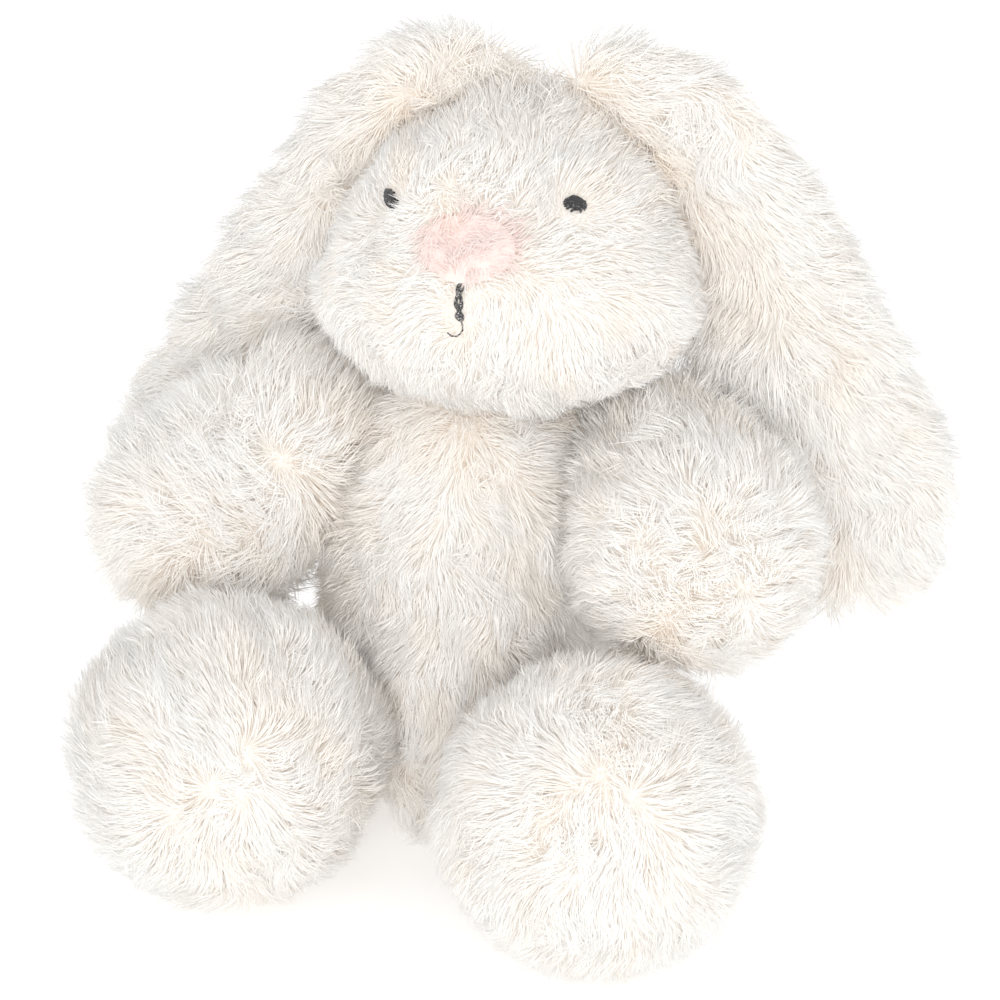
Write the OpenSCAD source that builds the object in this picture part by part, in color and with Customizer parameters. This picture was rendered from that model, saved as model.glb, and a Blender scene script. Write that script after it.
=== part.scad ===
// Stuffed lop-eared bunny in its floppy sitting pose, in millimetres.
// The bunny faces -Y, its left side is +X, and the middle of its seat is the origin, on z = 0.
// Covers are sewn pile fabric, drawn as panels of one wall thickness around loose filling.

/* [Torso] */
// Width of the tummy where it is fullest
tummy_w = 94; // [86:1:94]
// Depth of the tummy from front to back
tummy_d = 84; // [76:1:84]
// Width of the chest where it is fullest
chest_w = 88; // [80:1:90]
// Depth of the chest from front to back
chest_d = 74; // [66:1:76]
// Height of the shoulders, where the neck is sewn on
neck_z = 143; // [138:1:143]
// Radius of the tail ball
tail_r = 15; // [12:1:18]

/* [Head] */
// Width of the head across the cheeks
cheek_w = 114; // [104:1:118]
// Depth of the head at the cheeks
cheek_d = 86; // [78:1:90]
// Width of the skull above the cheeks
skull_w = 94; // [86:1:98]
// Depth of the skull above the cheeks
skull_d = 88; // [80:1:92]
// Height of the middle of the head
head_z = 188; // [188:1:194]
// How far the face looks up, in degrees
head_tilt = 25; // [22:1:27]
// How far the face turns to the bunny's right, in degrees
head_yaw = 4; // [0:1:8]
// How far the head leans to the bunny's right, in degrees
head_roll = 4.5; // [0:0.5:6]

/* [Face] */
// Width of the nose patch
nose_w = 30; // [20:1:34]
// Height of the nose patch
nose_h = 21; // [14:1:24]
// Distance between the eyes
eye_gap = 58; // [48:1:62]
// Length of one stitched eye
eye_l = 7.5; // [5:0.5:9]
// Length of the mouth stitch
mouth_l = 13; // [9:1:16]

/* [Ears] */
// Widest part of an ear
ear_w = 52; // [44:1:56]
// Thickness of the two ear panels together
ear_t = 10; // [7:1:11]

/* [Limbs] */
// Radius of an arm at the shoulder
shoulder_r = 19; // [15:1:20]
// Radius of the left paw
left_paw_r = 34; // [28:1:35]
// Radius of the right paw
right_paw_r = 28; // [24:1:31]
// Radius of a leg at the hip
hip_r = 20; // [15:1:21]
// Radius of a foot
foot_r = 43; // [38:1:44]

/* [Fabric and filling] */
// Thickness of the cover with its packed pile
wall = 3; // [2:0.5:4]
// Thickness of the cloth of the pellet bag
bag_wall = 0.6; // [0.4:0.1:1]

/* [Hidden] */
$fn = 48;

white = "#f6f3ee";
filling = "#fbfbfb";
pink = "#f3cfc8";
black = "#1c1b1d";

far = 400;                       // larger than the whole bunny, for cutting planes
fit = 0.3;                       // clearance between the filling and its cover
soft_sides = 28;                 // facets round the wrapped shapes of the torso and the head

// Torso: a tummy, a chest and a seat that runs forward between the legs, each an egg, wrapped
// into one shape and cut flat where it sits.
tummy_h = 104;
tummy_at = [0, 0, 44];
chest_h = 102;
chest_at = [1, 2, neck_z - chest_h / 2];
seat_size = [30, 58, 26];
seat_at = [0, -23, 13];
side_seam_y = 2;                 // the side seams lie in this plane
back_seam_x = 1;                 // the back seam lies in this plane
seat_seam_z = 12;                // the seat panel reaches up to this height
bag_size = [64, 58, 22];
bag_at = [0, 0, 15.5];
tail_at = [back_seam_x, tummy_d / 2 + tail_r, 38];

// Head, in its own frame: face to -Y, the middle of the head at the origin.
head_at = [12, 4, head_z];
skull_h = 76;
skull_at = [0, 0, 7];
cheek_h = 62;
cheek_at = [0, -7, -15];
ear_seam_y = 6;                  // the face panel meets the back panel here, and the ears are sewn in
nose_z = -1.5;
nose_proud = 1.5;
eye_z = 13;
mouth_z = -19.2;
mouth_r = 1.7;

// Limbs run from a ball inside the joint seam to the paw or foot.
left_shoulder = [58, -3, 123];
left_paw = [78, -24, 108];
right_shoulder = [-57, -2, 121];
right_paw = [-87, -12, 91];
left_hip = [39, -52, 36];
left_foot = [64, -85, foot_r];
right_hip = [-39.5, -52, 36];
right_foot = [-59, -80, foot_r];

// Ears, from the root to the tip. Each row is a point of the middle line, then what share of
// the full width and thickness the ear has there, and the heading and rise of its flat side
// in degrees.
left_ear_line = [
    [27, 26, 232, 0.25, 0.5, 0, 125],
    [37, 25, 236, 0.37, 0.8, 0, 100],
    [51, 25, 233, 0.48, 1.0, 0, 68],
    [64, 27, 221, 0.60, 1.0, 0, 45],
    [75, 29, 203, 0.73, 1.0, 2, 32],
    [85, 31, 180, 0.83, 1.0, 4, 26],
    [95, 33, 156, 0.94, 1.0, 6, 23],
    [105, 35, 132, 1.00, 1.0, 8, 21],
    [115, 37, 109, 0.98, 0.9, 10, 16],
    [120, 38, 90, 0.83, 0.8, 10, 9],
    [121, 38, 77, 0.58, 0.6, 10, 2],
    [121, 38, 69, 0.27, 0.4, 10, 0],
];
right_ear_line = [
    [-1, 26, 231, 0.25, 0.5, 180, 125],
    [-11, 25, 234, 0.35, 0.8, 180, 100],
    [-24, 25, 231, 0.44, 1.0, 180, 66],
    [-38, 27, 215, 0.56, 1.0, 180, 45],
    [-51, 29, 191, 0.67, 1.0, 178, 33],
    [-64, 31, 166, 0.79, 1.0, 176, 29],
    [-78, 33, 139, 0.90, 1.0, 174, 27],
    [-91, 35, 112, 0.98, 1.0, 172, 24],
    [-104, 37, 90, 0.98, 0.9, 170, 18],
    [-108, 38, 74, 0.83, 0.8, 170, 9],
    [-109, 38, 63, 0.58, 0.6, 170, 2],
    [-109, 38, 56, 0.29, 0.4, 170, 0],
];
ear_sides = 8;                   // facets round one ear panel
ear_steps = 3;                   // sections from one row to the next

function unit(v) = v / norm(v);

// An egg of the given full size, made smaller all round by less.
module egg(at, size, less = 0) {
    translate(at) scale(size / 2 - [less, less, less]) sphere(r = 1);
}

// The part of its children between two corners.
module within(low, high) {
    intersection() {
        children();
        translate(low) cube(high - low);
    }
}

// ---------- torso ----------

module torso_solid(less = 0) {
    intersection() {
        hull($fn = soft_sides) {
            egg(tummy_at, [tummy_w, tummy_d, tummy_h], less);
            egg(chest_at, [chest_w, chest_d, chest_h], less);
            egg(seat_at, seat_size, less);
        }
        translate([-far / 2, -far / 2, less]) cube(far);
    }
}

module torso_shell() {
    difference() {
        torso_solid();
        torso_solid(wall);
    }
}

module seat_panel() {
    color(white) within([-far, -far, -1], [far, far, seat_seam_z]) torso_shell();
}

module tummy_panel() {
    color(white) within([-far, -far, seat_seam_z], [far, side_seam_y, far]) torso_shell();
}

module back_left_panel() {
    color(white) within([back_seam_x, side_seam_y, seat_seam_z], [far, far, far]) torso_shell();
}

module back_right_panel() {
    color(white) within([-far, side_seam_y, seat_seam_z], [back_seam_x, far, far]) torso_shell();
}

module torso_stuffing() {
    color(filling) difference() {
        torso_solid(wall + fit);
        egg(bag_at, bag_size, -fit);
    }
}

module pellet_bag() {
    color("#d9d6cf") difference() {
        egg(bag_at, bag_size);
        egg(bag_at, bag_size, bag_wall);
    }
}

module seat_pellets() {
    color("#e8e8e8") egg(bag_at, bag_size, bag_wall + fit);
}

module tail_cover() {
    color(white) translate(tail_at) difference() {
        sphere(r = tail_r);
        sphere(r = tail_r - wall);
    }
}

module tail_stuffing() {
    color(filling) translate(tail_at) sphere(r = tail_r - wall - fit);
}

// How far back the chest reaches at a height.
function chest_back(z) =
    chest_at[1] + chest_d / 2 * sqrt(1 - pow((z - chest_at[2]) / (chest_h / 2), 2));

// The opening the bunny was filled through is closed by hand with a row of short stitches.
module closing_stitches() {
    stitch_l = 4;
    stitch_r = 0.5;
    step = 4;
    color(white)
        for (i = [0:7])
            let (z = chest_at[2] + 6 + i * step)
                translate([back_seam_x - stitch_l / 2, chest_back(z) + stitch_r, z])
                    rotate([0, 90, 0]) cylinder(r = stitch_r, h = stitch_l);
}

module care_label() {
    label = [14, 14, 0.6];
    droop = -24;
    heading = 20;
    color("#fdfdfd")
        rotate([0, 0, heading]) translate([-label[0] / 2, tummy_d / 2 - 6, seat_seam_z - 1])
            rotate([droop, 0, 0]) cube(label);
}

// ---------- head ----------

module head_frame() {
    translate(head_at) rotate([-head_tilt, 0, -head_yaw]) rotate([0, -head_roll, 0]) children();
}

module head_solid(less = 0) {
    hull($fn = soft_sides) {
        egg(skull_at, [skull_w, skull_d, skull_h], less);
        egg(cheek_at, [cheek_w, cheek_d, cheek_h], less);
    }
}

module head_shell() {
    difference() {
        head_solid();
        head_solid(wall);
    }
}

module face_panel() {
    color(white) head_frame() within([-far, -far, -far], [far, ear_seam_y, far]) head_shell();
}

module head_back_panel() {
    color(white) head_frame() within([-far, ear_seam_y, -far], [far, far, far]) head_shell();
}

module head_stuffing() {
    color(filling) head_frame() head_solid(wall + fit);
}

// How far forward an egg reaches at a place across and up.
function egg_front(at, size, x, z) =
    at[1] - size[1] / 2
        * sqrt(1 - pow((x - at[0]) / (size[0] / 2), 2) - pow((z - at[2]) / (size[2] / 2), 2));

// A flat patch that follows the face and stands a little proud of it.
module nose_patch() {
    color(pink) head_frame() difference() {
        intersection() {
            head_solid(-nose_proud);
            translate([0, 0, nose_z]) scale([nose_w, 1, nose_h]) rotate([90, 0, 0])
                cylinder(d = 1, h = far);
        }
        head_solid();
    }
}

module eye(side) {
    x = side * eye_gap / 2;
    color(black) head_frame() difference() {
        translate([x, egg_front(skull_at, [skull_w, skull_d, skull_h], x, eye_z), eye_z])
            rotate([0, side * 12, 0]) scale([eye_l / 2, 2, eye_l * 0.38]) sphere(r = 1);
        head_solid();
    }
}

module left_eye() { eye(1); }

module right_eye() { eye(-1); }

module mouth_stitch() {
    color(black) head_frame() difference() {
        translate([0, egg_front(cheek_at, [cheek_w, cheek_d, cheek_h], 0, mouth_z), mouth_z])
            scale([mouth_r, mouth_r, mouth_l / 2]) sphere(r = 1);
        head_solid();
    }
}

// ---------- ears ----------

function level_and_rise(heading, rise) =
    [cos(heading) * cos(rise), sin(heading) * cos(rise), sin(rise)];

// A smooth curve through four rows, between the second and the third.
function eased(a, b, c, d, t) =
    b + (c - a) * t / 2 + (2 * a - 5 * b + 4 * c - d) * t * t / 2
        + (3 * b - a - 3 * c + d) * t * t * t / 2;

function ear_rows(line) =
    let (last = len(line) - 1)
    [for (i = [0:last - 1]) for (s = [0:ear_steps - 1])
        eased(line[max(i - 1, 0)], line[i], line[i + 1], line[min(i + 2, last)], s / ear_steps),
     line[last]];

function spot(row) = [row[0], row[1], row[2]];

// One half of a flat oval section, from one edge of the ear to the other.
function ear_section(rows, i, face) =
    let (
        here = spot(rows[i]),
        along = unit(spot(rows[min(i + 1, len(rows) - 1)]) - spot(rows[max(i - 1, 0)])),
        flat = level_and_rise(rows[i][5], rows[i][6]),
        across = unit(flat - along * (flat * along)),
        out = cross(along, across) * face
    )
    [for (k = [0:ear_sides])
        let (turn = 180 * k / ear_sides)
        here + across * cos(turn) * ear_w / 2 * rows[i][3] + out * sin(turn) * ear_t / 2 * rows[i][4]];

// One ear panel: the sections joined into a closed solid, flat on the side of the other panel.
module ear_panel(line, face) {
    ring = ear_sides + 1;
    rows = ear_rows(line);
    last = len(rows) - 1;
    points = [for (i = [0:last]) each ear_section(rows, i, face)];
    sides = [for (i = [0:last - 1]) for (k = [0:ear_sides])
        let (a = i * ring + k, b = i * ring + (k + 1) % ring)
        each [[a, a + ring, b], [b, a + ring, b + ring]]];
    root = [for (k = [1:ring - 2]) [0, k, k + 1]];
    tip = [for (k = [1:ring - 2]) [last * ring, last * ring + k + 1, last * ring + k]];
    faces = concat(sides, root, tip);
    color(white) polyhedron(points, face > 0 ? faces : [for (f = faces) [f[0], f[2], f[1]]]);
}

module left_ear_front_panel() { ear_panel(left_ear_line, 1); }

module left_ear_back_panel() { ear_panel(left_ear_line, -1); }

module right_ear_front_panel() { ear_panel(right_ear_line, -1); }

module right_ear_back_panel() { ear_panel(right_ear_line, 1); }

// ---------- limbs ----------

// Turns +Z to run from one point to another, and starts there.
module along(from, to) {
    v = to - from;
    translate(from) rotate([0, acos(v[2] / norm(v)), atan2(v[1], v[0])]) children();
}

// Two balls joined by a cone along +Z. The cone sits a touch inside both balls, so that the
// outlines cross instead of only touching.
module club(r1, r2, length, less = 0) {
    tuck = 0.2;
    a = r1 - less;
    b = r2 - less;
    slope = (r2 - r1) / length;
    spread = sqrt(1 - slope * slope);
    rotate_extrude() intersection() {
        union() {
            circle(r = a);
            translate([0, length]) circle(r = b);
            polygon([[0, -a * slope], [(a - tuck) * spread, -(a - tuck) * slope],
                     [(b - tuck) * spread, length - (b - tuck) * slope], [0, length - b * slope]]);
        }
        translate([0, -far / 2]) square([far, far]);
    }
}

// half is 1 for the side of the limb that looks up, -1 for the side that looks down.
module limb_panel(from, to, r1, r2, half) {
    length = norm(to - from);
    color(white) along(from, to) intersection() {
        difference() {
            club(r1, r2, length);
            club(r1, r2, length, wall);
        }
        translate([half > 0 ? -far : 0, -far / 2, -far / 2]) cube(far);
    }
}

module limb_stuffing(from, to, r1, r2) {
    color(filling) along(from, to) club(r1, r2, norm(to - from), wall + fit);
}

module left_arm_outer_panel() { limb_panel(left_shoulder, left_paw, shoulder_r, left_paw_r, 1); }

module left_arm_inner_panel() { limb_panel(left_shoulder, left_paw, shoulder_r, left_paw_r, -1); }

module left_arm_stuffing() { limb_stuffing(left_shoulder, left_paw, shoulder_r, left_paw_r); }

module right_arm_outer_panel() {
    limb_panel(right_shoulder, right_paw, shoulder_r, right_paw_r, 1);
}

module right_arm_inner_panel() {
    limb_panel(right_shoulder, right_paw, shoulder_r, right_paw_r, -1);
}

module right_arm_stuffing() { limb_stuffing(right_shoulder, right_paw, shoulder_r, right_paw_r); }

module left_leg_upper_panel() { limb_panel(left_hip, left_foot, hip_r, foot_r, 1); }

module left_leg_under_panel() { limb_panel(left_hip, left_foot, hip_r, foot_r, -1); }

module left_leg_stuffing() { limb_stuffing(left_hip, left_foot, hip_r, foot_r); }

module right_leg_upper_panel() { limb_panel(right_hip, right_foot, hip_r, foot_r, 1); }

module right_leg_under_panel() { limb_panel(right_hip, right_foot, hip_r, foot_r, -1); }

module right_leg_stuffing() { limb_stuffing(right_hip, right_foot, hip_r, foot_r); }

seat_panel();
tummy_panel();
back_left_panel();
back_right_panel();
torso_stuffing();
pellet_bag();
seat_pellets();
tail_cover();
tail_stuffing();
closing_stitches();
care_label();
face_panel();
head_back_panel();
head_stuffing();
nose_patch();
left_eye();
right_eye();
mouth_stitch();
left_ear_front_panel();
left_ear_back_panel();
right_ear_front_panel();
right_ear_back_panel();
left_arm_outer_panel();
left_arm_inner_panel();
left_arm_stuffing();
right_arm_outer_panel();
right_arm_inner_panel();
right_arm_stuffing();
left_leg_upper_panel();
left_leg_under_panel();
left_leg_stuffing();
right_leg_upper_panel();
right_leg_under_panel();
right_leg_stuffing();
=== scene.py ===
"""A stuffed lop-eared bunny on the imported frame: sewn skins, long pile, face stitches, label."""

import math

import bpy
import numpy as np
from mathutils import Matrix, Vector
from mathutils.bvhtree import BVHTree
from mathutils.kdtree import KDTree


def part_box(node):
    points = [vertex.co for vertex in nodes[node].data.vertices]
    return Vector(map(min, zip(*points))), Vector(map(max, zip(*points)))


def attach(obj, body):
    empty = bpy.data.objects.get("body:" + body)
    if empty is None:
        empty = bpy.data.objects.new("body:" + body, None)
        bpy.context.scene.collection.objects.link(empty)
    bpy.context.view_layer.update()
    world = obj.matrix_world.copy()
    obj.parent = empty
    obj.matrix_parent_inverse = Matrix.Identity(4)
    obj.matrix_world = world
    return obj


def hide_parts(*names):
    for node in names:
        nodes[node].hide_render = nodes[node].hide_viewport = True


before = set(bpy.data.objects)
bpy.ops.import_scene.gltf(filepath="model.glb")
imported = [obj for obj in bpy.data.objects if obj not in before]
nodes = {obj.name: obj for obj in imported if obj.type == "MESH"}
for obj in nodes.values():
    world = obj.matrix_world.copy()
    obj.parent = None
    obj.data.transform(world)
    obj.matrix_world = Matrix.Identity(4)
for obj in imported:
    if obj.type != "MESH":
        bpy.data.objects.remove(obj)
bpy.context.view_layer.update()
scene = bpy.context.scene
MM = 0.001


# ---------- camera, floor and light ----------


def add_camera():
    azimuth, elevation = math.radians(16), math.radians(27)
    target = Vector((0.013, -0.017, 0.111))
    back = Vector(
        (
            math.sin(azimuth) * math.cos(elevation),
            -math.cos(azimuth) * math.cos(elevation),
            math.sin(elevation),
        )
    )
    data = bpy.data.cameras.new("Camera")
    data.lens = 147.4
    data.sensor_width = 36
    data.clip_end = 50
    camera = bpy.data.objects.new("Camera", data)
    camera.location = target + back * 1.3
    camera.rotation_euler = back.to_track_quat("Z", "Y").to_euler()
    scene.collection.objects.link(camera)
    scene.camera = camera


def add_light(name, place, aim, size, power, colour=(1, 1, 1)):
    data = bpy.data.lights.new(name, "AREA")
    data.shape = "DISK"
    data.size = size
    data.energy = power
    data.color = colour
    light = bpy.data.objects.new(name, data)
    light.location = place
    light.rotation_euler = (Vector(place) - Vector(aim)).to_track_quat("Z", "Y").to_euler()
    scene.collection.objects.link(light)


def add_floor():
    mesh = bpy.data.meshes.new("floor")
    r = 6
    mesh.from_pydata([(-r, -r, 0), (r, -r, 0), (r, r, 0), (-r, r, 0)], [], [(0, 1, 2, 3)])
    floor = bpy.data.objects.new("floor", mesh)
    scene.collection.objects.link(floor)
    m = bpy.data.materials.new("studio_floor")
    m.use_nodes = True
    p = m.node_tree.nodes["Principled BSDF"]
    p.inputs["Base Color"].default_value = (0.93, 0.93, 0.93, 1)
    # a light table: the white floor glows a little, and lights the undersides
    p.inputs["Emission Color"].default_value = (1, 0.98, 0.95, 1)
    p.inputs["Emission Strength"].default_value = 0.3
    p.inputs["Roughness"].default_value = 0.9
    p.inputs["Specular IOR Level"].default_value = 0.1
    mesh.materials.append(m)


def add_world():
    world = bpy.data.worlds.new("studio")
    world.use_nodes = True
    background = world.node_tree.nodes["Background"]
    background.inputs["Color"].default_value = (1, 1, 1, 1)
    background.inputs["Strength"].default_value = 0.95
    scene.world = world


add_camera()
add_floor()
add_world()
CHEST = (0, -0.02, 0.1)
add_light("key", (-0.7, -1.3, 1.3), CHEST, size=1.6, power=3)
add_light("fill", (1.2, -1.0, 0.7), CHEST, size=1.6, power=3)
add_light("front", (0.4, -1.5, 0.6), CHEST, size=0.9, power=13)
scene.view_settings.view_transform = "Standard"
# a high-key picture: shadows are lifted and whites stay where they are
scene.view_settings.gamma = 1.5
# light goes in and out of white pile many times before it leaves
scene.cycles.max_bounces = 20
scene.cycles.diffuse_bounces = 16


# ---------- materials ----------


def new_material(name):
    m = bpy.data.materials.new(name)
    m.use_nodes = True
    tree = m.node_tree
    return m, tree, tree.nodes["Principled BSDF"]


def pile_material(name, root, tip):
    """Long polyester pile: pale at the tips, with painted shade that darkens and warms the roots
    and painted cleft shade near other parts; each tuft a little different.
    """
    m, tree, p = new_material(name)
    nodes_, links = tree.nodes, tree.links
    along = nodes_.new("ShaderNodeAttribute")
    along.attribute_name = "pile"
    split = nodes_.new("ShaderNodeSeparateXYZ")
    links.new(along.outputs["Vector"], split.inputs[0])
    # painted shade: the colour darkens and warms from the tips down to the roots, where the pile is
    # deep
    ramp = nodes_.new("ShaderNodeValToRGB")
    ramp.color_ramp.elements[0].position = 0.0
    ramp.color_ramp.elements[0].color = (*root, 1)
    ramp.color_ramp.elements[1].position = 0.8
    ramp.color_ramp.elements[1].color = (*tip, 1)
    links.new(split.outputs["X"], ramp.inputs["Fac"])
    # painted cleft shade: strands near other parts are multiplied towards a darker beige
    cleft_shade_tint = nodes_.new("ShaderNodeMix")
    cleft_shade_tint.data_type = "RGBA"
    cleft_shade_tint.blend_type = "MULTIPLY"
    cleft_shade_tint.inputs["B"].default_value = (1.0, 0.86, 0.7, 1)
    links.new(split.outputs["Y"], cleft_shade_tint.inputs["Factor"])
    links.new(ramp.outputs["Color"], cleft_shade_tint.inputs["A"])
    links.new(cleft_shade_tint.outputs["Result"], p.inputs["Base Color"])
    p.inputs["Roughness"].default_value = 0.75
    p.inputs["Specular IOR Level"].default_value = 0.15
    p.inputs["Sheen Weight"].default_value = 0.25
    p.inputs["Sheen Roughness"].default_value = 0.5
    return m


def backing_material():
    """The knitted backing under the pile."""
    m, tree, p = new_material("knit_backing")
    nodes_, links = tree.nodes, tree.links
    place = nodes_.new("ShaderNodeTexCoord")
    rows = nodes_.new("ShaderNodeTexWave")
    rows.inputs["Scale"].default_value = 220
    rows.inputs["Distortion"].default_value = 3
    links.new(place.outputs["Object"], rows.inputs["Vector"])
    ramp = nodes_.new("ShaderNodeValToRGB")
    ramp.color_ramp.elements[0].color = (0.86, 0.79, 0.71, 1)
    ramp.color_ramp.elements[1].color = (0.93, 0.89, 0.83, 1)
    links.new(rows.outputs["Color"], ramp.inputs["Fac"])
    links.new(ramp.outputs["Color"], p.inputs["Base Color"])
    p.inputs["Roughness"].default_value = 0.95
    p.inputs["Specular IOR Level"].default_value = 0.1
    return m


# root colour, then tip colour: the darker, warmer roots are painted shade deep in the pile
WHITE_PILE = pile_material("cream_pile", (0.96, 0.895, 0.815), (0.965, 0.945, 0.91))
PINK_PILE = pile_material("pink_pile", (0.88, 0.68, 0.62), (0.9, 0.735, 0.69))
BACKING = backing_material()


# ---------- covers ----------


def mesh_object(name, points, faces):
    mesh = bpy.data.meshes.new(name)
    mesh.from_pydata(points, [], faces)
    obj = bpy.data.objects.new(name, mesh)
    scene.collection.objects.link(obj)
    return obj


def coordinates(mesh):
    co = np.empty(len(mesh.vertices) * 3)
    mesh.vertices.foreach_get("co", co)
    return co.reshape(-1, 3)


def set_coordinates(mesh, co):
    mesh.vertices.foreach_set("co", co.ravel())
    mesh.update()


def vertex_normals(mesh):
    out = np.empty(len(mesh.vertices) * 3)
    mesh.vertices.foreach_get("normal", out)
    return out.reshape(-1, 3)


def outer_island(points, faces):
    """The outermost closed surface of a mesh, without anything hollow inside it."""
    owner = np.arange(len(points))

    def top(i):
        while owner[i] != i:
            owner[i] = owner[owner[i]]
            i = owner[i]
        return i

    for face in faces:
        first = top(face[0])
        for v in face[1:]:
            owner[top(v)] = first
    roots = np.array([top(i) for i in range(len(points))])
    names = np.unique(roots)
    spans = [np.ptp(points[roots == n], axis=0).prod() for n in names]
    keep = names[int(np.argmax(spans))]
    return [f for f in faces if roots[f[0]] == keep]


def settle(obj):
    """Applies every modifier on obj."""
    graph = bpy.context.evaluated_depsgraph_get()
    done = bpy.data.meshes.new_from_object(obj.evaluated_get(graph))
    obj.modifiers.clear()
    old = obj.data
    obj.data = done
    bpy.data.meshes.remove(old)


def start_cover(name, sources, voxel, swell, passes):
    """A smooth closed skin around the named CAD solids, pushed out by swell."""
    points, faces = [], []
    for node in sources:
        mesh = nodes[node].data
        base = len(points)
        points += [tuple(v.co) for v in mesh.vertices]
        faces += [tuple(base + i for i in p.vertices) for p in mesh.polygons]
    # corners at the same spot become one vertex, so that the surface is closed
    spots, index = np.unique(np.round(np.array(points), 6), axis=0, return_inverse=True)
    index = index.ravel()
    faces = [tuple(int(index[i]) for i in f) for f in faces]
    faces = [f for f in faces if len(set(f)) == len(f)]
    if len(sources) == 1:
        faces = outer_island(spots, faces)
    obj = mesh_object(name, [tuple(p) for p in spots], faces)
    remesh = obj.modifiers.new("remesh", "REMESH")
    remesh.mode = "VOXEL"
    remesh.voxel_size = voxel
    settle(obj)
    smooth = obj.modifiers.new("smooth", "SMOOTH")
    smooth.factor = 0.5
    smooth.iterations = passes
    settle(obj)
    co = coordinates(obj.data) + vertex_normals(obj.data) * swell
    set_coordinates(obj.data, co)
    for p in obj.data.polygons:
        p.use_smooth = True
    return obj


def inflate(covers, pressure, cap, frames=20):
    """Swells the covers with a cloth simulation and keeps the result as plain mesh.

    No point moves further than cap (m)."""
    before = {}
    for obj in covers:
        before[obj] = coordinates(obj.data)
        cloth = obj.modifiers.new("cloth", "CLOTH")
        cloth.settings.quality = 4
        cloth.settings.use_pressure = True
        cloth.settings.uniform_pressure_force = pressure
        cloth.settings.effector_weights.gravity = 0
        cloth.point_cache.frame_start = 1
        cloth.point_cache.frame_end = frames
    for step in range(1, frames + 1):
        scene.frame_set(step)
    graph = bpy.context.evaluated_depsgraph_get()
    for obj in covers:
        after = coordinates(obj.evaluated_get(graph).data)
        obj.modifiers.clear()
        move = after - before[obj]
        far = np.linalg.norm(move, axis=1, keepdims=True)
        set_coordinates(obj.data, before[obj] + move * np.minimum(1, cap / np.maximum(far, 1e-9)))
    scene.frame_set(1)


COVERS = {
    # name: (body, sources, voxel in mm, swell in mm, smoothing passes, nodes it stands for)
    "torso_cover": (
        "torso",
        ["torso_stuffing"],
        4,
        2.2,
        8,
        ["seat_panel", "tummy_panel", "back_left_panel", "back_right_panel", "torso_stuffing"],
    ),
    "tail_cover_skin": ("torso", ["tail_stuffing"], 2.5, 2.8, 8, ["tail_cover", "tail_stuffing"]),
    "head_cover": (
        "head",
        ["head_stuffing"],
        4,
        2.2,
        8,
        ["face_panel", "head_back_panel", "head_stuffing"],
    ),
    "left_ear_cover": (
        "left_ear",
        ["left_ear_front_panel", "left_ear_back_panel"],
        2.5,
        1.6,
        3,
        ["left_ear_front_panel", "left_ear_back_panel"],
    ),
    "right_ear_cover": (
        "right_ear",
        ["right_ear_front_panel", "right_ear_back_panel"],
        2.5,
        1.6,
        3,
        ["right_ear_front_panel", "right_ear_back_panel"],
    ),
    "left_arm_cover": (
        "left_arm",
        ["left_arm_stuffing"],
        4,
        2.2,
        8,
        ["left_arm_outer_panel", "left_arm_inner_panel", "left_arm_stuffing"],
    ),
    "right_arm_cover": (
        "right_arm",
        ["right_arm_stuffing"],
        4,
        4,
        8,
        ["right_arm_outer_panel", "right_arm_inner_panel", "right_arm_stuffing"],
    ),
    "left_leg_cover": (
        "left_leg",
        ["left_leg_stuffing"],
        4,
        2.2,
        8,
        ["left_leg_upper_panel", "left_leg_under_panel", "left_leg_stuffing"],
    ),
    "right_leg_cover": (
        "right_leg",
        ["right_leg_stuffing"],
        4,
        2.2,
        8,
        ["right_leg_upper_panel", "right_leg_under_panel", "right_leg_stuffing"],
    ),
}

covers = {}
for name, (body, sources, voxel, swell, passes, stands_for) in COVERS.items():
    covers[name] = start_cover(name, sources, voxel * MM, swell * MM, passes)
inflate([c for n, c in covers.items() if "ear" not in n], pressure=4, cap=1.5 * MM)
for name, obj in covers.items():
    body, stands_for = COVERS[name][0], COVERS[name][-1]
    fine = obj.modifiers.new("fine", "SUBSURF")
    fine.levels = fine.render_levels = 1
    settle(obj)
    obj.data.materials.append(BACKING)
    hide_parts(*stands_for)
    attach(obj, body)


# ---------- pile ----------


def unit(v):
    return v / np.maximum(np.linalg.norm(v, axis=-1, keepdims=True), 1e-9)


def flatten(v, n):
    """v laid into the surface whose normals are n."""
    return v - n * (v * n).sum(-1, keepdims=True)


def triangles(mesh):
    mesh.calc_loop_triangles()
    out = np.empty(len(mesh.loop_triangles) * 3, np.int32)
    mesh.loop_triangles.foreach_get("vertices", out)
    return out.reshape(-1, 3)


def scatter(obj, per_mm2, rng):
    """Points spread evenly over obj, and the surface normal at each."""
    co, normals, tri = coordinates(obj.data), vertex_normals(obj.data), triangles(obj.data)
    a, b, c = (co[tri[:, k]] for k in range(3))
    area = np.linalg.norm(np.cross(b - a, c - a), axis=1) / 2
    reach = np.cumsum(area)
    count = int(reach[-1] * 1e6 * per_mm2)
    pick = np.searchsorted(reach, (np.arange(count) + rng.random(count)) / count * reach[-1])
    pick = np.minimum(pick, len(tri) - 1)
    u, v = rng.random(count), rng.random(count)
    over = u + v > 1
    u[over], v[over] = 1 - u[over], 1 - v[over]
    w = np.stack([1 - u - v, u, v], 1)[:, :, None]
    return (co[tri[pick]] * w).sum(1), unit((normals[tri[pick]] * w).sum(1))


def swirl(p, wavelength, seed):
    """A smooth random vector at each point."""
    rng = np.random.default_rng(seed)
    out = np.zeros_like(p)
    for _ in range(4):
        k = rng.normal(size=(3, 3)) * 2 * math.pi / wavelength
        out += np.sin(p @ k + rng.random(3) * 6.28)
    return out / 2


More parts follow.
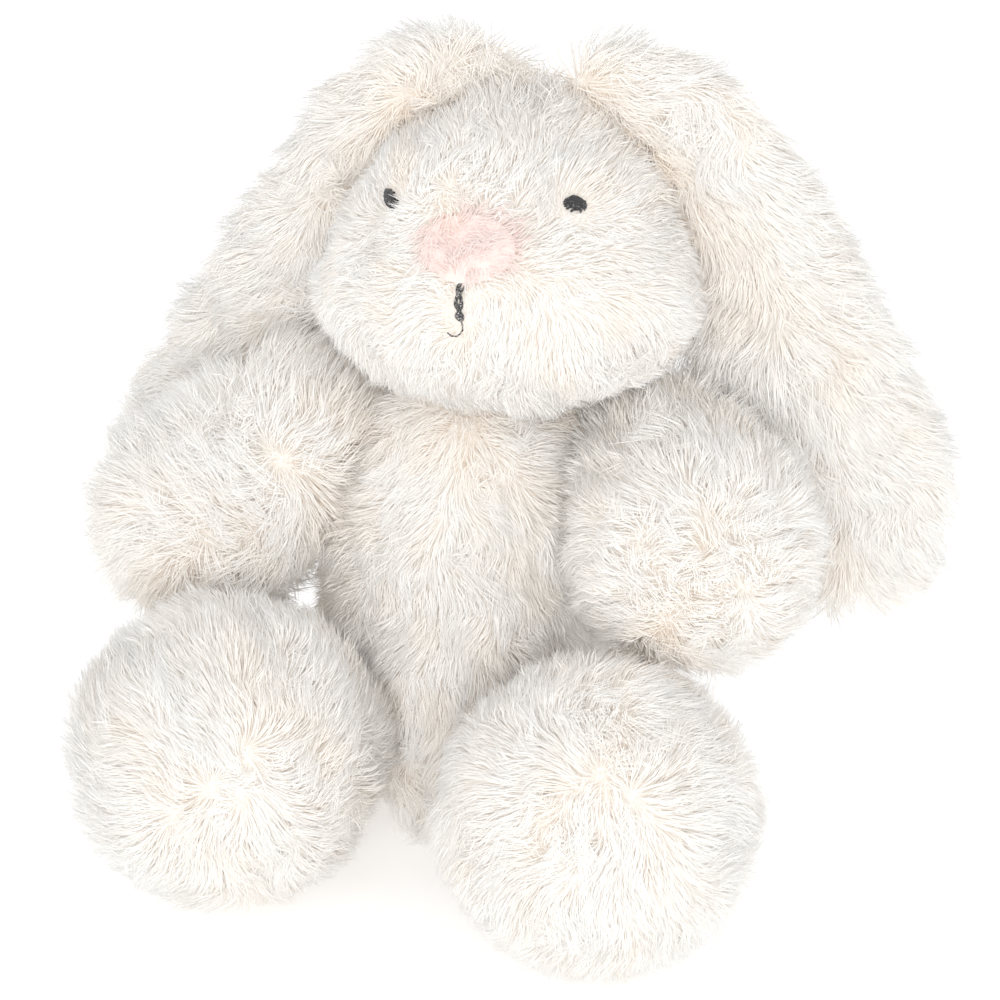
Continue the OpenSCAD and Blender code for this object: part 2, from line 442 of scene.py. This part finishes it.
def gaps(points, others):
    """How far each point is from the nearest of the other covers."""
    verts, faces = [], []
    for obj in others:
        base = len(verts)
        verts += [tuple(v.co) for v in obj.data.vertices]
        faces += [tuple(base + i for i in p.vertices) for p in obj.data.polygons]
    tree = BVHTree.FromPolygons(verts, faces)
    return np.array([tree.find_nearest(p)[3] or 0 for p in points])


RINGS = np.array([0.0, 0.5, 1.0])
THICK = np.array([1.0, 0.8])
# where a strand's seven corners lie in its cell of the flat layout
CELL = np.array(
    [[0.1, 0.1], [0.5, 0.1], [0.9, 0.1], [0.1, 0.55], [0.5, 0.55], [0.9, 0.55], [0.5, 0.9]]
)
MOST_STRANDS = 22000


def strands(p, n, comb, rise, length, width, cleft_shade_amount, rng, clump):
    """Tapered three-sided strands from the roots p, gathered into tufts.

    comb is the direction each strand lies in, rise how far it stands up (0 to 1)."""
    count = len(p)
    flat = unit(flatten(comb, n))
    t = RINGS[None, :, None]
    lift = (rise * length)[:, None, None]
    run = (np.sqrt(1 - rise**2) * length)[:, None, None]
    line = p[:, None] + n[:, None] * lift * (1 - (1 - t) ** 1.7) + flat[:, None] * run * t**1.5
    # every strand leans towards the tip of the strand in the middle of its tuft
    spacing, pull = clump
    centres = rng.choice(count, max(8, int(count / (spacing**2 * DENSITY))), replace=False)
    tree = KDTree(len(centres))
    for i, c in enumerate(centres):
        tree.insert(p[c] + n[c] * 0.5 * length[c], i)
    tree.balance()
    mid = p + n * 0.5 * length[:, None]
    own = centres[np.array([tree.find(q)[1] for q in mid])]
    pulls = (pull * rng.uniform(0.3, 1.3, count))[:, None, None]
    line += (line[own] - line) * np.clip(pulls, 0, 0.95) * t**1.5
    line[:, :, 2] = np.maximum(line[:, :, 2], 0.0004)
    # two rings of three corners round the middle line, and one point at the tip
    along = unit(line[:, -1] - line[:, 0])
    side = unit(np.cross(along, n))
    turn = rng.random(count) * 2 * math.pi
    out = np.cross(side, along)
    outward = np.stack(
        [
            side * np.cos(turn + a)[:, None] + out * np.sin(turn + a)[:, None]
            for a in (0, 2 * math.pi / 3, 4 * math.pi / 3)
        ],
        1,
    )
    rings = (
        line[:, :2, None]
        + outward[:, None] * (width[:, None, None, None] / 2) * THICK[None, :, None, None]
    )
    verts = np.concatenate([rings.reshape(count, 6, 3), line[:, 2:3]], 1)
    soft = unit(n[:, None] * 0.4 + outward)
    normals = np.concatenate([np.tile(soft, (1, 2, 1)), along[:, None]], 1)
    shade = np.zeros((count, 7, 3))
    shade[:, 3:6, 0] = 0.55
    shade[:, 6, 0] = 1.0
    shade[:, :, 0] *= rng.uniform(0.8, 1.2, count)[:, None]
    # the second value holds each strand's painted cleft shade
    shade[:, :, 1] = cleft_shade_amount[:, None]
    return verts, normals, shade


def pile_object(name, verts, normals, shade, material):
    """One mesh of strands, each with its own cell in the flat layout."""
    count = len(verts)
    base = (np.arange(count) * 7)[:, None, None]
    quads = np.array([[k, 3 + k, 3 + (k + 1) % 3, (k + 1) % 3] for k in range(3)])
    caps = np.array([[3 + k, 6, 3 + (k + 1) % 3] for k in range(3)])
    quads = (base + quads[None]).reshape(-1, 4)
    caps = (base + caps[None]).reshape(-1, 3)
    loops = np.concatenate([quads.ravel(), caps.ravel()]).astype(np.int32)
    starts = np.concatenate([np.arange(len(quads)) * 4, len(quads) * 4 + np.arange(len(caps)) * 3])
    mesh = bpy.data.meshes.new(name)
    mesh.vertices.add(count * 7)
    mesh.loops.add(len(loops))
    mesh.polygons.add(len(starts))
    mesh.vertices.foreach_set("co", verts.ravel())
    mesh.loops.foreach_set("vertex_index", loops)
    mesh.polygons.foreach_set("loop_start", starts.astype(np.int32))
    mesh.update(calc_edges=True)
    mesh.attributes.new("pile", "FLOAT_VECTOR", "POINT").data.foreach_set("vector", shade.ravel())
    cells = math.ceil(math.sqrt(count))
    corner = np.stack([np.arange(count) % cells, np.arange(count) // cells], 1)[:, None]
    flat = (corner + CELL[None]).reshape(-1, 2) / cells
    mesh.uv_layers.new(name="OFBake").data.foreach_set("uv", flat[loops].ravel())
    mesh.polygons.foreach_set("use_smooth", np.ones(len(starts), bool))
    mesh.normals_split_custom_set_from_vertices(normals.reshape(-1, 3))
    mesh.materials.append(material)
    obj = bpy.data.objects.new(name, mesh)
    scene.collection.objects.link(obj)
    return obj


# strands per square millimetre
DENSITY = 1.6


def body_axis(points):
    """The direction of a line through points, and the nearest place on it, for each p."""
    pts = np.array(points, float) * MM

    def field(p, n):
        a, b = pts[:-1], pts[1:]
        ab = b - a
        s = ((p[:, None] - a) * ab).sum(-1) / (ab * ab).sum(-1)
        s = np.clip(s, 0, 1)
        foot = a + s[..., None] * ab
        gap = np.linalg.norm(p[:, None] - foot, axis=-1)
        k = gap.argmin(1)
        rows = np.arange(len(p))
        way = unit(ab)[k]
        off = unit(p - foot[rows, k])
        share = (k + s[rows, k]) / (len(pts) - 1)
        return way, off, share

    return field


# the middle line of each ear from its root to its tip, in mm
LEFT_EAR = body_axis(
    [
        (27, 26, 232),
        (37, 25, 236),
        (51, 25, 233),
        (64, 27, 221),
        (85, 31, 180),
        (105, 35, 132),
        (121, 38, 69),
    ]
)
RIGHT_EAR = body_axis(
    [
        (-1, 26, 231),
        (-11, 25, 234),
        (-24, 25, 231),
        (-38, 27, 215),
        (-64, 31, 166),
        (-91, 35, 112),
        (-109, 38, 56),
    ]
)


def combed(pole, reach=26):
    """Pile combed away from a spot where it lies every way."""
    pole = np.array(pole, float)

    def field(p, n):
        near = np.exp(-((np.linalg.norm(p - pole, axis=1) / (reach * MM)) ** 2))
        return unit(p - pole), near, np.ones(len(p))

    return field


def whorl(centre, direction, radius):
    """Pile combed away from the spot that lies in one direction from the middle of a ball."""
    return combed(np.array(centre) * MM + np.array(direction) * radius * MM)


def ear_comb(axis):
    """Pile combed along an ear, out over its edges, and up and back at its root.

    It is longer at the root and along the edge next to the head."""
    root_share, spread, longer, head_x = 0.14, 0.8, 0.35, 0.013

    def field(p, n):
        way, off, share = axis(p, n)
        root = np.exp(-((share / root_share) ** 2))
        inner = np.clip(-off[:, 0] * np.sign(p[:, 0] - head_x), 0, 1) ** 2
        comb = way * (1 - 1.5 * root)[:, None] + off * spread
        return comb, root * 0.6, 1 + longer * (root + inner)

    return field


NOSE = np.mean(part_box("nose_patch"), axis=0)
NOSE_SIZE = np.diff(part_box("nose_patch"), axis=0)[0] / 2
# the eyes and the mouth: where they are, how far they part the pile, and in what shape
SPOTS = [np.mean(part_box(n), axis=0) for n in ("left_eye", "right_eye", "mouth_stitch")]
SPOT_REACH = np.array([0.0075, 0.0075, 0.006])
SPOT_SHAPE = np.array([[1, 1, 1], [1, 1, 1], [1, 1, 0.55]])
SHORTEST = 0.15


def face_comb(p, n):
    """Short pile combed away from the nose, and parted and cut low round the eyes and the mouth."""
    near = np.exp(-((np.linalg.norm(p - NOSE, axis=1) / 0.014) ** 2))
    low = np.ones(len(p))
    way = unit(p - NOSE - np.array([0, 0, 0.004]))
    for spot, reach, shape in zip(SPOTS, SPOT_REACH, SPOT_SHAPE):
        off = (p - spot) * shape
        gap = np.linalg.norm(off, axis=1) / reach
        low = np.minimum(low, np.clip(SHORTEST + 0.85 * (gap - 0.4) / 0.9, SHORTEST, 1))
        way += unit(off) * (3 * np.exp(-((gap / 1.1) ** 2)))[:, None]
    back = np.clip((p[:, 1] + 0.01) / 0.03, 0, 1)
    return way, near, low * (1 + 0.3 * back)


PILE = {
    # cover: (field, length in mm, rise, tuft spacing in mm and pull)
    "torso_cover": (combed((0.0, -0.02, 0.165)), 15.5, 0.6, (3.0, 0.5)),
    "tail_cover_skin": (combed((0.001, 0.09, 0.04)), 10, 0.7, (3.0, 0.5)),
    "head_cover": (face_comb, 11, 0.66, (2.2, 0.4)),
    "left_ear_cover": (ear_comb(LEFT_EAR), 17, 0.5, (3.2, 0.55)),
    "right_ear_cover": (ear_comb(RIGHT_EAR), 17, 0.5, (3.2, 0.55)),
    "left_arm_cover": (whorl((78, -24, 108), (0.35, -0.93, 0.13), 34), 15.5, 0.64, (2.8, 0.5)),
    "right_arm_cover": (whorl((-87, -12, 91), (0.62, -0.73, 0.29), 28), 20, 0.7, (2.8, 0.5)),
    "left_leg_cover": (whorl((64, -85, 43), (0.05, -0.64, 0.77), 43), 14.5, 0.66, (2.8, 0.5)),
    "right_leg_cover": (whorl((-59, -80, 43), (0.56, -0.79, -0.26), 43), 15, 0.66, (2.8, 0.5)),
}


# where the pile is longer
LONGER = {
    # cover: [(centre in mm, reach in mm, extra share of the length)]
    "left_arm_cover": [((68, -8, 140), 20, 0.75)],
    "left_ear_cover": [((84, 32, 150), 22, 0.5)],
    "torso_cover": [((46, -4, 134), 16, 0.6)],
    "head_cover": [((13, 16, 232), 15, 1.0)],
}


def grow(name, number):
    """The pile of one cover, in one or more meshes that ride with it."""
    field, length, rise, clump = PILE[name]
    rng = np.random.default_rng(100 + number)
    body = COVERS[name][0]
    p, n = scatter(covers[name], DENSITY, rng)
    gap = gaps(p, [c for k, c in covers.items() if COVERS[k][0] != body])
    keep = gap > 0.0003
    p, n, gap = p[keep], n[keep], gap[keep]
    count = len(p)
    way, near, share = field(p, n)
    curl = flatten(swirl(p, 0.05, number), n) * 0.55
    curl += flatten(swirl(p, 0.016, 20 + number), n) * 0.5
    comb = unit(flatten(way, n)) * (1 - 0.95 * near)[:, None] + curl * (1 + near)[:, None]
    comb = unit(comb) + rng.normal(size=(count, 3)) * 0.22
    for centre, reach, extra in LONGER.get(name, []):
        away = np.linalg.norm(p / MM - np.array(centre), axis=1)
        share = share * (1 + extra * np.exp(-((away / reach) ** 2)))
    long = length * MM * share * rng.uniform(0.6, 1.1, count) * np.clip(gap / 0.007, 0.45, 1)
    lift = rise + 0.12 * swirl(p, 0.03, 50 + number)[:, 0] + rng.normal(size=count) * 0.07
    lift = np.clip(lift, 0.2, 0.95)
    width = rng.uniform(0.32, 0.52, count) * MM * 1
    # painted cleft shade: strands closer to another part get more of it, with some random variation
    cleft_shade = 0.05 + 0.9 * np.exp(-gap / 0.01) + 0.15 * swirl(p, 0.03, 80 + number)[:, 1]
    parts = strands(p, n, comb, lift, long, width, np.clip(cleft_shade, 0, 1), rng, clump)
    pink = np.zeros(count, bool)
    if name == "head_cover":
        off = (p - NOSE) / NOSE_SIZE
        pink = (off[:, 0] ** 2 + off[:, 2] ** 2 < 0.95) & (p[:, 1] < NOSE[1] + 0.02)
        patch = pile_object("nose_pile", *(a[pink] for a in parts), PINK_PILE)
        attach(patch, body)
    rest = np.flatnonzero(~pink)
    stem = name.split("_cover")[0] + "_pile"
    for k in range(0, len(rest), MOST_STRANDS):
        chosen = rest[k : k + MOST_STRANDS]
        label = f"{stem}_{k // MOST_STRANDS + 1}"
        obj = pile_object(label, *(a[chosen] for a in parts), WHITE_PILE)
        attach(obj, body)


for number, name in enumerate(PILE):
    grow(name, number)


# ---------- face stitches ----------


def yarn_material(name, dark, pale, share):
    """Twisted yarn: dark plies with paler flecks in them, partly paler fibres and partly painted
    sheen.
    """
    m, tree, p = new_material(name)
    nodes_, links = tree.nodes, tree.links
    place = nodes_.new("ShaderNodeTexCoord")
    fibres = nodes_.new("ShaderNodeTexNoise")
    fibres.inputs["Scale"].default_value = 1800
    fibres.inputs["Detail"].default_value = 3
    links.new(place.outputs["Object"], fibres.inputs["Vector"])
    ramp = nodes_.new("ShaderNodeValToRGB")
    ramp.color_ramp.elements[0].position = 1 - share
    ramp.color_ramp.elements[0].color = (*dark, 1)
    ramp.color_ramp.elements[1].position = min(1, 1.15 - share)
    ramp.color_ramp.elements[1].color = (*pale, 1)
    links.new(fibres.outputs["Fac"], ramp.inputs["Fac"])
    links.new(ramp.outputs["Color"], p.inputs["Base Color"])
    p.inputs["Roughness"].default_value = 0.8
    p.inputs["Specular IOR Level"].default_value = 0.2
    p.inputs["Sheen Weight"].default_value = 0.1
    return m


def yarn(name, lines, radius, material):
    """Two-ply yarn laid along lines: a mesh of twisted tubes with tapered ends."""
    sides = 10
    turn = np.arange(sides) * 2 * math.pi / sides
    verts, faces = [], []
    for line in lines:
        line = np.array(line, float)
        steps = np.linalg.norm(np.diff(line, axis=0), axis=1)
        reach = np.concatenate([[0], np.cumsum(steps)])
        spots = np.linspace(0, reach[-1], max(8, int(reach[-1] / (radius * 0.35))))
        mid = np.stack([np.interp(spots, reach, line[:, k]) for k in range(3)], 1)
        along = unit(np.gradient(mid, axis=0))
        side = unit(np.cross(along, (0.3, -1, 0.2)))
        up = np.cross(side, along)
        taper = np.clip(np.minimum(spots, spots[-1] - spots) / radius, 0.35, 1) ** 0.5
        ply = np.cos(2 * (turn[None] - spots[:, None] / (radius * 1.6)))
        r = radius * taper[:, None] * (0.86 + 0.14 * ply)
        ring = (
            mid[:, None]
            + side[:, None] * (np.cos(turn) * r)[:, :, None]
            + up[:, None] * (np.sin(turn) * r)[:, :, None]
        )
        base = len(verts)
        verts += [tuple(v) for v in ring.reshape(-1, 3)]
        for i in range(len(mid) - 1):
            for k in range(sides):
                a, b = base + i * sides + k, base + i * sides + (k + 1) % sides
                faces.append((a, b, b + sides, a + sides))
        last = base + (len(mid) - 1) * sides
        faces.append(tuple(base + k for k in reversed(range(sides))))
        faces.append(tuple(last + k for k in range(sides)))
    obj = mesh_object(name, verts, faces)
    for p in obj.data.polygons:
        p.use_smooth = True
    obj.data.materials.append(material)
    return obj


HEAD_SKIN = BVHTree.FromPolygons(
    [tuple(v.co) for v in covers["head_cover"].data.vertices],
    [tuple(p.vertices) for p in covers["head_cover"].data.polygons],
)


def on_face(spot, across, up, proud):
    """The spot on the head's skin that lies across and up from spot (m), lifted by proud."""
    place, normal, _, _ = HEAD_SKIN.find_nearest(Vector(spot))
    n = np.array(normal)
    x = unit(np.cross((0, 0, 1), n))
    x = x if x[0] > 0 else -x
    z = np.cross(n, x)
    z = z if z[2] > 0 else -z
    place, normal, _, _ = HEAD_SKIN.find_nearest(Vector(np.array(place) + x * across + z * up))
    return np.array(place) + np.array(normal) * proud


def satin_eye(spot, half_width, half_height):
    """Slanting stitches laid side by side over an oval of that half size in mm."""
    lines = []
    for row in np.linspace(-1, 1, 7):
        half = half_width * math.sqrt(max(0.12, 1 - (row * 0.9) ** 2))
        line = []
        for t in np.linspace(-1, 1, 9):
            across = half * t + row * 0.2
            up = row * half_height - across * 0.25
            proud = 3.4 - 2.2 * t**4 - 0.6 * row**2
            line.append(on_face(spot, across * MM, up * MM, proud * MM))
        lines.append(line)
    return lines


# the pale flecks in the black eye yarn are partly white fibres and partly painted sheen
BLACK_YARN = yarn_material("black_yarn", (0.003, 0.003, 0.004), (0.12, 0.115, 0.11), 0.42)
GREY_YARN = yarn_material("grey_yarn", (0.004, 0.004, 0.005), (0.4, 0.38, 0.36), 0.46)
EYE_SPOTS = {
    # side: (middle, half width and half height in mm)
    "left": (SPOTS[0] + (0, 0, 0.0018), 3.5, 2.1),
    "right": (SPOTS[1] + (-0.0002, 0, -0.0008), 5.6, 1.5),
}
for side, (spot, half_width, half_height) in EYE_SPOTS.items():
    lines = satin_eye(spot, half_width, half_height)
    eye = yarn(side + "_eye_stitches", lines, 0.5 * MM, BLACK_YARN)
    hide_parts(side + "_eye")
    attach(eye, "head")

# two plies wound round each other, thin at both ends
MOUTH_AT = SPOTS[2] + (0, 0, 0.0015)
mouth_lines = []
for start in (0, math.pi):
    line = []
    for t in np.linspace(-1, 1, 25):
        swing, phase = 0.8 * math.sqrt(max(0, 1 - t**4)), start + 4 * t
        across = swing * math.cos(phase) + 0.5 * t
        proud = 4.4 - 2 * t**4 + 0.7 * swing * math.sin(phase)
        line.append(on_face(MOUTH_AT, across * MM, -5 * t * MM, proud * MM))
    mouth_lines.append(line)
mouth = yarn("mouth_yarn", mouth_lines, 0.8 * MM, GREY_YARN)
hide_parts("mouth_stitch")
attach(mouth, "head")

# the thread end that hangs under the mouth: across and up from its middle, in mm
LOOP = [
    (0.9, -4.4),
    (1.5, -5.6),
    (1.5, -7.2),
    (0.8, -8.6),
    (-0.5, -9.4),
    (-2.0, -9.5),
    (-3.3, -8.8),
]
bow = [on_face(MOUTH_AT, x * MM, z * MM, 4.4 * MM) for x, z in LOOP]
thread = yarn("mouth_loop", [bow], 0.32 * MM, GREY_YARN)
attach(thread, "head")


# ---------- label, seams and filling ----------


def plain_material(name, dark, pale, scale, roughness):
    """A quiet two-tone material for small parts."""
    m, tree, p = new_material(name)
    nodes_, links = tree.nodes, tree.links
    place = nodes_.new("ShaderNodeTexCoord")
    pattern = nodes_.new("ShaderNodeTexNoise")
    pattern.inputs["Scale"].default_value = scale
    links.new(place.outputs["Object"], pattern.inputs["Vector"])
    ramp = nodes_.new("ShaderNodeValToRGB")
    ramp.color_ramp.elements[0].color = (*dark, 1)
    ramp.color_ramp.elements[1].color = (*pale, 1)
    links.new(pattern.outputs["Fac"], ramp.inputs["Fac"])
    links.new(ramp.outputs["Color"], p.inputs["Base Color"])
    p.inputs["Roughness"].default_value = roughness
    p.inputs["Specular IOR Level"].default_value = 0.3
    return m


def satin_label():
    """A blank ribbon folded in two, with its ends caught in the seat seam."""
    width, reach, fold = 14 * MM, 13.7 * MM, 0.25 * MM
    heading, droop = math.radians(20), math.radians(24)
    seam_y, seam_z, ripple = 36 * MM, 11 * MM, 0.9 * MM
    columns = 9
    out = np.linspace(0, reach, 15)
    bend = np.linspace(-math.pi / 2, math.pi / 2, 9)
    profile = [(y, 0) for y in out]
    profile += [(reach + fold * math.cos(a), fold + fold * math.sin(a)) for a in bend[1:-1]]
    profile += [(y, 2 * fold) for y in out[::-1]]
    points = []
    for y, z in profile:
        z += ripple * math.sin(y / reach * 2.6)
        back = seam_y + (y * math.cos(droop) + z * math.sin(droop))
        height = seam_z + (z * math.cos(droop) - y * math.sin(droop))
        for x in np.linspace(-width / 2, width / 2, columns):
            points.append(
                (
                    x * math.cos(heading) - back * math.sin(heading),
                    x * math.sin(heading) + back * math.cos(heading),
                    height,
                )
            )
    faces = [
        (i * columns + k, i * columns + k + 1, (i + 1) * columns + k + 1, (i + 1) * columns + k)
        for i in range(len(profile) - 1)
        for k in range(columns - 1)
    ]
    label = mesh_object("satin_label", points, faces)
    for p in label.data.polygons:
        p.use_smooth = True
    return label


SATIN = plain_material("satin", (0.86, 0.86, 0.85), (0.95, 0.95, 0.94), 700, 0.35)
label = satin_label()
label.data.materials.append(SATIN)
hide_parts("care_label")
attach(label, "torso")

CARRIED = {
    # node: (slot, darker tone, paler tone, pattern scale, roughness)
    "nose_patch": ("pink_pile", (0.88, 0.66, 0.6), (0.95, 0.78, 0.73), 400, 0.9),
    "closing_stitches": ("cream_thread", (0.78, 0.72, 0.62), (0.92, 0.88, 0.8), 900, 0.7),
    "pellet_bag": ("bag_cloth", (0.72, 0.7, 0.66), (0.85, 0.83, 0.8), 600, 0.85),
    "seat_pellets": ("plastic_pellets", (0.7, 0.72, 0.74), (0.9, 0.91, 0.92), 260, 0.4),
}
for node, (slot, dark, pale, scale, roughness) in CARRIED.items():
    piece = nodes[node]
    piece.data.materials.clear()
    piece.data.materials.append(plain_material(node + "_cloth", dark, pale, scale, roughness))
